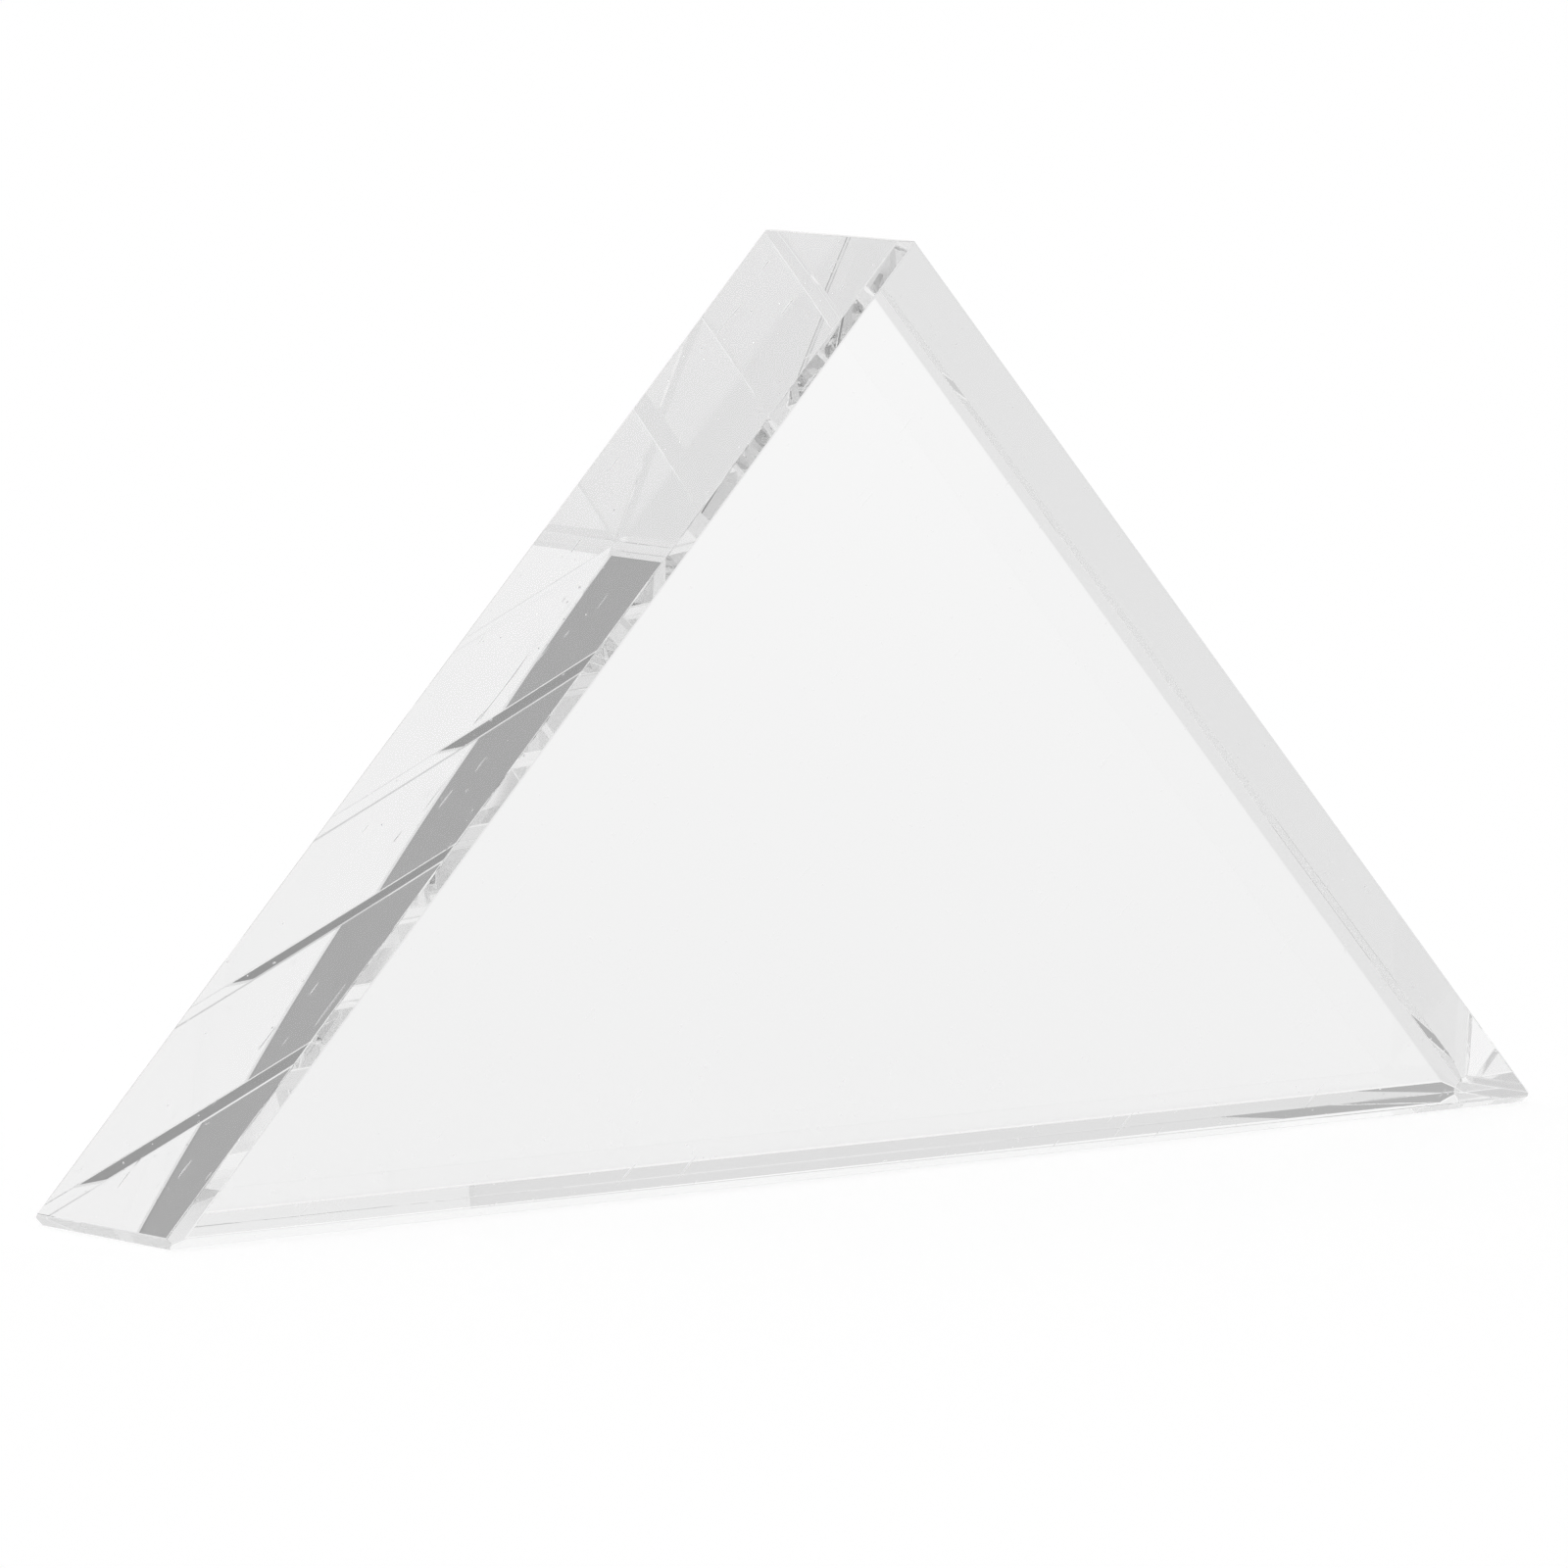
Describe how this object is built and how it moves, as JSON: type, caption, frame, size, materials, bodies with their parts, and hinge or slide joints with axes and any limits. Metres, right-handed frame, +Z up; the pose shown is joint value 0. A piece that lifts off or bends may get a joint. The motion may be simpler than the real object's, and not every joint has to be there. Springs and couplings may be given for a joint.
{
  "type": "right angle prism",
  "caption": "Clear right-angle isosceles prism block, standing on its long face, with a narrow polished bevel along every edge.",
  "frame": {"origin": "middle of the long hypotenuse face that the block stands on", "axes": "+X along the hypotenuse, +Y through the thickness from one triangular face to the other, +Z up towards the right-angle apex"},
  "size_m": [0.1398, 0.016, 0.0702],
  "materials": {
    "optical_glass": "polished clear optical glass"
  },
  "bodies": {
    "root": {"prism": "optical_glass"}
  },
  "joints": []
}
